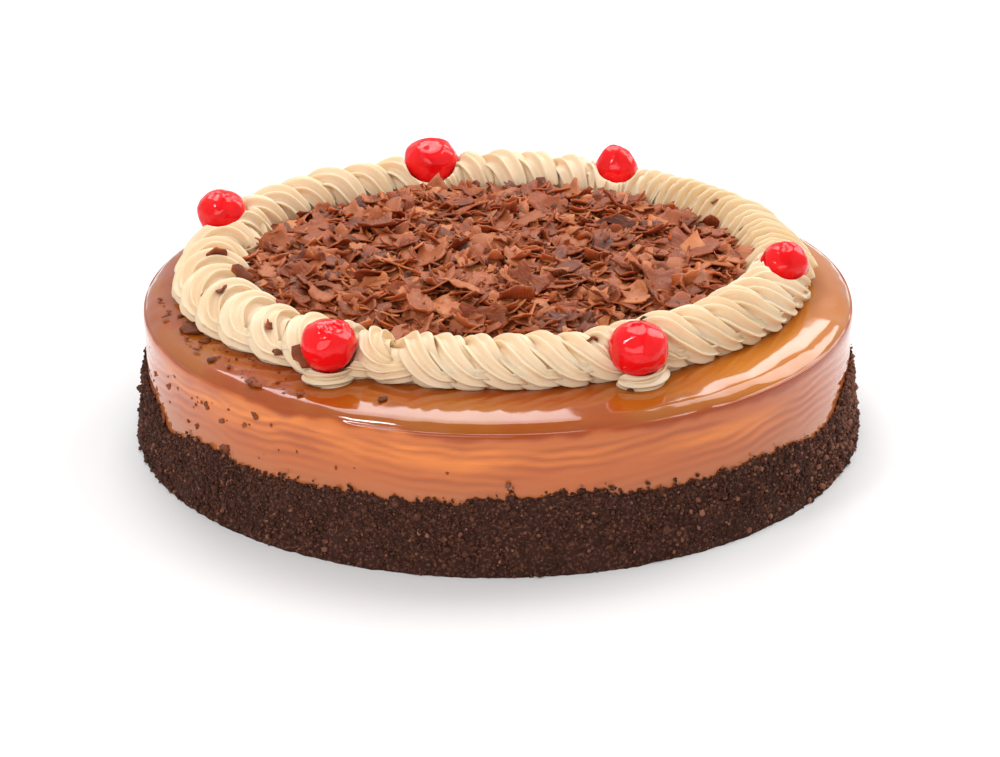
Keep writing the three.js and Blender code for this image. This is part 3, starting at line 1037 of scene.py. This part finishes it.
# ---- cherries ----
def make_cherries(settings):
    finish = cherry_finish(settings)
    for number, cherry in enumerate(placed_cherries(), 1):
        rng = random.Random(300 + number)
        shift = Vector([rng.uniform(0, 9) for _ in range(3)])
        bm = bmesh.new()
        bmesh.ops.create_icosphere(bm, subdivisions=5, radius=1)
        nub = Vector((rng.uniform(-0.4, 0.4), rng.uniform(-0.5, 0.3), 0.9)).normalized()
        for vertex in bm.verts:
            unit = vertex.co.normalized()
            lump = 0.07 * noise(unit * 1.6 + shift) + 0.02 * noise(unit * 4.5 + shift)
            facing = unit.dot(nub)
            dimple = 0.07 * exp(-(((1 - facing) / 0.035) ** 2))
            pucker = 0.01 * exp(-(((1 - facing) / 0.2) ** 2)) * cos(7 * atan2(unit.x, unit.y))
            wide = 1 + cherry.taper * unit.z
            vertex.co = unit * (1 + lump - dimple + pucker)
            vertex.co.x *= wide
            vertex.co.y *= wide
        fit_to(bm, cherry.centre, cherry.half)
        name = f"glace_cherry_{number}"
        piece = add_piece(name, mesh_from(bm, name), finish)
        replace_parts(piece, f"cherry_{number}")


def fit_to(bm, centre, half):
    """Stretches a body to a box given by its middle and half sizes."""
    for axis in range(3):
        values = [vertex.co[axis] for vertex in bm.verts]
        low, high = min(values), max(values)
        for vertex in bm.verts:
            vertex.co[axis] = centre[axis] + half[axis] * (2 * (vertex.co[axis] - low) / (high - low) - 1)


# ---- shavings ----
def flake_shape(rng, cells, length, width, thickness, curl):
    """A ragged curled plate: a grid with a torn outline, bent over its length and given its
    thickness. Every face has four corners. Its marks are the place on the plate and the edge."""
    bm = bmesh.new()
    bmesh.ops.create_grid(bm, x_segments=cells[0], y_segments=cells[1], size=0.5)
    mark = bm.verts.layers.float_vector.new("leaf")
    seed = rng.uniform(0, 50)
    bend = rng.choice((-1, 1)) * rng.uniform(*curl)
    cross = rng.uniform(-0.5, 0.5)
    twist = rng.uniform(-0.5, 0.5)
    taper = rng.uniform(-0.5, 0.5)
    for vertex in bm.verts:
        u, v = vertex.co.x * 2, vertex.co.y * 2
        rim = max(abs(u), abs(v))
        tear = 0.5 * noise(Vector((u * 1.7, v * 1.7, seed)))
        tear += 0.22 * noise(Vector((u * 4, v * 4, seed)))
        torn = 1 + rim * tear
        round_off = 1 - 0.2 * (u * u) * (v * v)
        x = u * 0.5 * length * torn * round_off
        y = v * 0.5 * width * torn * round_off * (1 + taper * u * 0.6)
        radius = length / bend
        turn = x / radius
        lift = radius * (1 - cos(turn)) + cross * y * y / width + twist * x * y / length
        lift += 0.06 * length * noise(Vector((u, v, seed + 9)))
        vertex.co = Vector((radius * sin(turn), y, lift))
        vertex[mark] = Vector((x + seed * MM, y, 1.0 if rim > 0.99 else 0.0))
    bm.normal_update()
    made = bmesh.ops.extrude_face_region(bm, geom=bm.faces[:], use_keep_orig=True)
    for vertex in [item for item in made["geom"] if isinstance(item, bmesh.types.BMVert)]:
        vertex.co += vertex.normal * thickness
    return arrays_of(bm, mark)


def leaning(rng, lean):
    """A random turn about the vertical after a random lean, in radians."""
    lean_to = Matrix.Rotation(rng.gauss(0, lean), 3, "X") @ Matrix.Rotation(rng.gauss(0, lean), 3, "Y")
    return (Matrix.Rotation(rng.uniform(0, TAU), 3, "Z") @ lean_to).to_quaternion()


def heap_surface(angle, distance):
    share = min(1.0, distance / bed_radius(angle))
    lumps = noise(around(angle, distance, 0) / 0.021)
    return CAKE_TOP + bed_height(share) + (1.8 * lumps + 1.2 * share * cos(angle)) * MM


def heap_flakes(scatter, rng, count, reach, lean, lifts):
    """Lays flakes evenly over the heap: how far past the bed's edge they reach, how much they lean
    and how high they lie over its surface."""
    for number in range(count):
        share = sqrt((number + rng.random()) / count)
        angle = number * GOLDEN_ANGLE + rng.uniform(-0.2, 0.2)
        distance = share * (bed_radius(angle) + reach)
        height = heap_surface(angle, distance) + rng.uniform(*lifts) * MM
        size = rng.uniform(0.7, 1.25)
        stretch = (size * rng.uniform(0.85, 1.2), size * rng.uniform(0.8, 1.2), size)
        place = around(angle, distance, height)
        shape, turn = scatter.pick(rng), leaning(rng, lean)
        tone = min(1.0, max(0.0, rng.gauss(0.48, 0.27)))
        scatter.add(shape, place, turn, stretch, tone)


BED_RINGS = 26
BED_SEGMENTS = 160


def make_bed_core(finish):
    """The inside of the heap. Its profile is in shares of the bed's radius and height."""
    profile = [(0, 0), (1, 0)] + [(1 - ring / BED_RINGS, 1) for ring in range(BED_RINGS + 1)]
    bm = spun(profile, BED_SEGMENTS)
    for vertex in bm.verts:
        angle, share = cylinder_of(vertex.co)
        distance = share * bed_radius(angle)
        base = CAKE_TOP + 0.1 * MM
        height = base
        if vertex.co.z > 0.5:
            rough = 1.2 * MM * noise(around(angle, distance, 0) / 0.006)
            height = max(base, heap_surface(angle, distance) - 3.2 * MM + rough)
        vertex.co = around(angle, distance, height)
    core = add_piece("shavings_bed", mesh_from(bm, "shavings_bed"), finish)
    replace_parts(core, "shavings")


# The piece, the setting with its count, the cells of a flake, its lengths, widths and curls, its
# reach past the bed's edge, its lean and its heights over the heap. Sizes are in millimetres.
FLAKE_KINDS = [
    ("short_shavings", "short", (5, 3), (6, 11), (3.6, 6.6), (0.2, 1.6), 1.5, 0.42, (-1.4, 2.4)),
    ("shaved_chips", "chips", (5, 3), (4, 7.5), (3, 5.2), (0.1, 1.2), 2.0, 0.5, (-1.8, 1.8)),
    ("shaving_slivers", "slivers", (5, 1), (4, 11), (1.0, 2.0), (0.6, 3.2), 1.0, 0.5, (-0.6, 2.8)),
    ("middling_shavings", "middling", (7, 4), (9, 15), (5.5, 9), (0.2, 1.8), -1.5, 0.36, (-0.2, 3.0)),
    ("broad_shavings", "broad", (10, 6), (14, 20), (9, 12.5), (0.3, 1.4), -7.0, 0.28, (1.0, 3.4)),
]
SHAPES_PER_KIND = 20


def make_shavings(settings):
    finish = chocolate_finish(settings)
    make_bed_core(finish)
    for seed, kind in enumerate(FLAKE_KINDS, 11):
        name, setting, cells, lengths, widths, curls, reach, lean, lifts = kind
        rng = random.Random(seed)
        shapes = []
        for _ in range(SHAPES_PER_KIND):
            length, width = rng.uniform(*lengths) * MM, rng.uniform(*widths) * MM
            shapes.append(flake_shape(rng, cells, length, width, settings.thickness, curls))
        scatter = Scatter(shapes)
        count = getattr(settings, setting)
        heap_flakes(scatter, random.Random(seed + 40), count, reach * MM, lean, lifts)
        heap = scatter.piece(name, finish, "chocolate_shavings", CAKE_TOP + 0.15 * MM)
        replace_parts(heap, "shavings")


# ---- fallen flakes ----
# Flakes that lie where the photo shows them: degrees round the cake, then the distance from its
# middle or the height on its wall, and the length, in millimetres.
ON_TOP = [
    (294.9, 113, 8.5), (287.4, 113.6, 2.6), (287.3, 119, 3.0), (284.9, 117, 2.2), (300, 112.8, 4.5),
    (302.7, 118.5, 2.6), (307.7, 118.5, 3.2), (341, 111.8, 3.6), (22.8, 108, 2.6), (290.7, 111.9, 2.4),
    (279, 119, 2.2), (297, 117, 2.4), (312, 117.5, 2.4), (328.3, 118.8, 2.8),
    (319.7, 120.4, 4.6), (318.5, 119.4, 3.2), (320.8, 121.2, 3.6), (319.2, 121.6, 3.0),
]
ON_WALL = [
    (291.5, 34, 2.2), (291.5, 28.5, 1.8), (298.3, 35, 2.6), (310.8, 38, 3.0), (295.2, 20.6, 4.0),
    (314.4, 35.3, 3.0), (307.6, 28.4, 2.2), (311.5, 23.5, 2.0), (314.8, 25.8, 4.5), (288.2, 41, 1.8),
    (319.6, 37.4, 2.2), (322, 42, 2.8), (301, 41.5, 2.0),
]
ON_CREAM = [
    (323.7, 105, 9.5), (318, 106, 5.0), (312.3, 102, 4.0), (295.5, 102, 5.5), (290.6, 105, 4.5),
    (276.5, 98, 7.0), (285.5, 92, 9.0), (19.1, 91.5, 6.0), (33, 88, 5.0), (357, 82, 6.5),
    (120, 94, 3.0), (104, 92, 4.0), (96, 97, 2.5),
]
SPECKS = 70
FLAT_LEAN, WALL_LEAN, CREAM_LEAN = 0.12, 0.05, 0.2  # radians


def surface_under(place, names):
    """The highest point of the named pieces under a place, and the way it faces."""
    best = (place, UP)
    top = -1.0
    for name in names:
        hit, point, normal, _ = bpy.data.objects[name].ray_cast(place, -UP)
        if hit and point.z > top:
            top = point.z
            best = (point, normal)
    return best


def lay_flake(scatter, rng, point, normal, length, lean):
    """Adds a dark flake on a surface, with its length in millimetres."""
    spin = Matrix.Rotation(rng.uniform(0, TAU), 3, "Z")
    tip = Matrix.Rotation(rng.gauss(0, lean), 3, "X")
    turn = (normal.to_track_quat("Z", "Y").to_matrix() @ spin @ tip).to_quaternion()
    place = point + normal * 0.12 * MM
    scatter.add(scatter.pick(rng), place, turn, (length * MM,) * 3, rng.uniform(0.0, 0.45))


def lay_on_glaze(scatter, rng, angle, length, distance=None, height=None):
    """Adds a flake on the flat top at a distance, or on the wall at a height."""
    if height is None:
        lay_flake(scatter, rng, around(angle, distance * MM, CAKE_TOP), UP, length, FLAT_LEAN)
    else:
        out = around(angle, 1, 0)
        lay_flake(scatter, rng, out * CAKE_RADIUS + UP * height * MM, out, length, WALL_LEAN)


def make_fallen_flakes(settings):
    rng = random.Random(77)
    shapes = [flake_shape(rng, (4, 2), 1.0, rng.uniform(0.5, 0.8), 0.12, (0.1, 0.8)) for _ in range(12)]
    finish = chocolate_finish(settings)
    on_glaze = Scatter(shapes)
    for turned, distance, length in ON_TOP:
        lay_on_glaze(on_glaze, rng, radians(turned), length, distance=distance)
    for turned, height, length in ON_WALL:
        lay_on_glaze(on_glaze, rng, radians(turned), length, height=height)
    for _ in range(SPECKS):
        angle = radians(rng.gauss(305, 16))
        length = rng.uniform(0.5, 1.5)
        if rng.random() < 0.5:
            lay_on_glaze(on_glaze, rng, angle, length, distance=rng.uniform(108, 119))
        else:
            lay_on_glaze(on_glaze, rng, angle, length, height=rng.uniform(27, 45))
    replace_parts(on_glaze.piece("flakes_on_glaze", finish, "chocolate_shavings"), "glazed_body")

    on_cream = Scatter(shapes)
    cream = [f"piped_cream_{number + 1}" for number in range(len(RUNS))]
    bpy.context.view_layer.update()
    for turned, distance, length in ON_CREAM:
        above = around(radians(turned), distance * MM, CAKE_TOP + 50 * MM)
        point, normal = surface_under(above, cream)
        lay_flake(on_cream, rng, point + normal * 0.5 * MM, normal, length, CREAM_LEAN)
    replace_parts(on_cream.piece("flakes_on_cream", finish, "chocolate_shavings"), "shavings")


# ---- stage ----
FLOOR_SIZE = 6
# Each light's name, place, width and height, and power. They all point at LIT_POINT.
LIGHTS = [
    ("back_softbox", (-0.13, 0.6, 0.92), (0.54, 0.8), 5.7),
    ("right_softbox", (0.7, 0.45, 0.75), (0.5, 0.9), 5.8),
    ("right_strip", (0.293, 0.713, 0.567), (0.2, 0.3), 0.75),
    ("front_fill", (-0.35, -1.15, 0.6), (0.9, 0.6), 5.0),
    ("key", (-0.45, -0.32, 0.87), (0.13, 0.1), 1.4),
]
LIT_POINT = Vector((0, 0, 0.05))
# The surroundings are dim ahead, above and behind, and bright at the sides.
DIM_TO, BRIGHT_FROM = 0.14, 0.22  # how far to the side, as a share of the way
DIM, BRIGHT = 0.35, 0.68
CAMERA_AIM = Vector((0.000619, 0, 0.011942))
SENSOR_WIDTH = 36  # millimetres


def make_floor():
    bm = bmesh.new()
    bmesh.ops.create_grid(bm, x_segments=1, y_segments=1, size=FLOOR_SIZE)
    floor = linked("floor", mesh_from(bm, "floor"))
    floor.data.materials.append(floor_finish())


def make_world():
    world = bpy.data.worlds.new("studio")
    nodes = Nodes(world)
    parts = nodes.node("ShaderNodeSeparateXYZ")
    nodes.join(nodes.node("ShaderNodeTexCoord").outputs["Generated"], parts.inputs[0])
    sideways = nodes.node("ShaderNodeMath", operation="ABSOLUTE")
    nodes.join(parts.outputs["X"], sideways.inputs[0])
    background = nodes.tree.nodes["Background"]
    background.inputs["Color"].default_value = (1, 1, 1, 1)
    strength = nodes.span(sideways.outputs[0], DIM_TO, BRIGHT_FROM, DIM, BRIGHT)
    nodes.join(strength, background.inputs["Strength"])
    bpy.context.scene.world = world


def add_light(name, place, size, power):
    data = bpy.data.lights.new(name, "AREA")
    data.shape = "RECTANGLE"
    data.size, data.size_y = size
    data.energy = power
    light = linked(name, data)
    light.location = place
    light.rotation_euler = (LIT_POINT - light.location).to_track_quat("-Z", "Y").to_euler()


def make_camera(settings):
    data = bpy.data.cameras.new("camera")
    data.lens = settings.lens
    data.sensor_width = SENSOR_WIDTH
    data.clip_start = 10 * MM
    ahead = Vector((0, cos(settings.elevation), -sin(settings.elevation)))
    sideways = Vector((1, 0, 0))
    up = sideways.cross(ahead)
    right = sideways * cos(settings.roll) + up * sin(settings.roll)
    top = up * cos(settings.roll) - sideways * sin(settings.roll)
    axes = Matrix((right, top, -ahead)).transposed().to_4x4()
    camera = linked("camera", data)
    camera.matrix_world = Matrix.Translation(CAMERA_AIM - ahead * settings.distance) @ axes
    bpy.context.scene.camera = camera


def make_stage(settings):
    make_floor()
    make_world()
    for light in LIGHTS:
        add_light(*light)
    make_camera(settings)
    bpy.context.scene.view_settings.view_transform = "Standard"


# ---- operators ----
class CAKE_OT_glaze(bpy.types.Operator):
    """Make the glazed body with its rippled wall"""

    bl_idname = "cake.glaze"
    bl_label = "Mirror glaze"

    def execute(self, context):
        make_glaze(context.scene.cake_glaze)
        return {"FINISHED"}


class CAKE_OT_crumb_coat(bpy.types.Operator):
    """Make the crumb coat round the foot"""

    bl_idname = "cake.crumb_coat"
    bl_label = "Crumb coat"

    def execute(self, context):
        make_crumb_coat(context.scene.cake_crumb)
        return {"FINISHED"}


class CAKE_OT_cream(bpy.types.Operator):
    """Pipe the cream rope"""

    bl_idname = "cake.cream"
    bl_label = "Piped cream"

    def execute(self, context):
        make_cream(context.scene.cake_cream)
        return {"FINISHED"}


class CAKE_OT_cherries(bpy.types.Operator):
    """Set the cherries in the cream"""

    bl_idname = "cake.cherries"
    bl_label = "Cherries"

    def execute(self, context):
        make_cherries(context.scene.cake_cherry)
        return {"FINISHED"}


class CAKE_OT_shavings(bpy.types.Operator):
    """Heap the chocolate shavings inside the rope"""

    bl_idname = "cake.shavings"
    bl_label = "Chocolate shavings"

    def execute(self, context):
        make_shavings(context.scene.cake_shaving)
        return {"FINISHED"}


class CAKE_OT_fallen_flakes(bpy.types.Operator):
    """Scatter the flakes that fell beside the cream"""

    bl_idname = "cake.fallen_flakes"
    bl_label = "Fallen flakes"

    def execute(self, context):
        make_fallen_flakes(context.scene.cake_shaving)
        return {"FINISHED"}


class CAKE_OT_stage(bpy.types.Operator):
    """Make the floor, the lights and the camera"""

    bl_idname = "cake.stage"
    bl_label = "Stage"

    def execute(self, context):
        make_stage(context.scene.cake_stage)
        return {"FINISHED"}


OPERATORS = [
    CAKE_OT_stage,
    CAKE_OT_glaze,
    CAKE_OT_crumb_coat,
    CAKE_OT_cream,
    CAKE_OT_cherries,
    CAKE_OT_shavings,
    CAKE_OT_fallen_flakes,
]
SETTINGS = {
    "cake_stage": StageSettings,
    "cake_glaze": GlazeSettings,
    "cake_crumb": CrumbSettings,
    "cake_cream": CreamSettings,
    "cake_cherry": CherrySettings,
    "cake_shaving": ShavingSettings,
}


class CAKE_PT_panel(bpy.types.Panel):
    """Lists the cake's operators and their settings"""

    bl_idname = "CAKE_PT_panel"
    bl_label = "Chocolate cake"
    bl_space_type = "VIEW_3D"
    bl_region_type = "UI"
    bl_category = "Cake"

    def draw(self, context):
        for operator in OPERATORS:
            self.layout.operator(operator.bl_idname)
        for name, group in SETTINGS.items():
            box = self.layout.box()
            for field in group.__annotations__:
                box.prop(getattr(context.scene, name), field)


def register():
    for cls in [*SETTINGS.values(), *OPERATORS, CAKE_PT_panel]:
        bpy.utils.register_class(cls)
    for name, group in SETTINGS.items():
        setattr(bpy.types.Scene, name, bpy.props.PointerProperty(type=group))


def unregister():
    for name in SETTINGS:
        delattr(bpy.types.Scene, name)
    for cls in reversed([*SETTINGS.values(), *OPERATORS, CAKE_PT_panel]):
        bpy.utils.unregister_class(cls)


def main():
    register()
    bpy.ops.cake.stage()
    bpy.ops.cake.glaze()
    bpy.ops.cake.crumb_coat()
    bpy.ops.cake.cream()
    bpy.ops.cake.cherries()
    bpy.ops.cake.shavings()
    bpy.ops.cake.fallen_flakes()


if __name__ == "__main__":
    main()
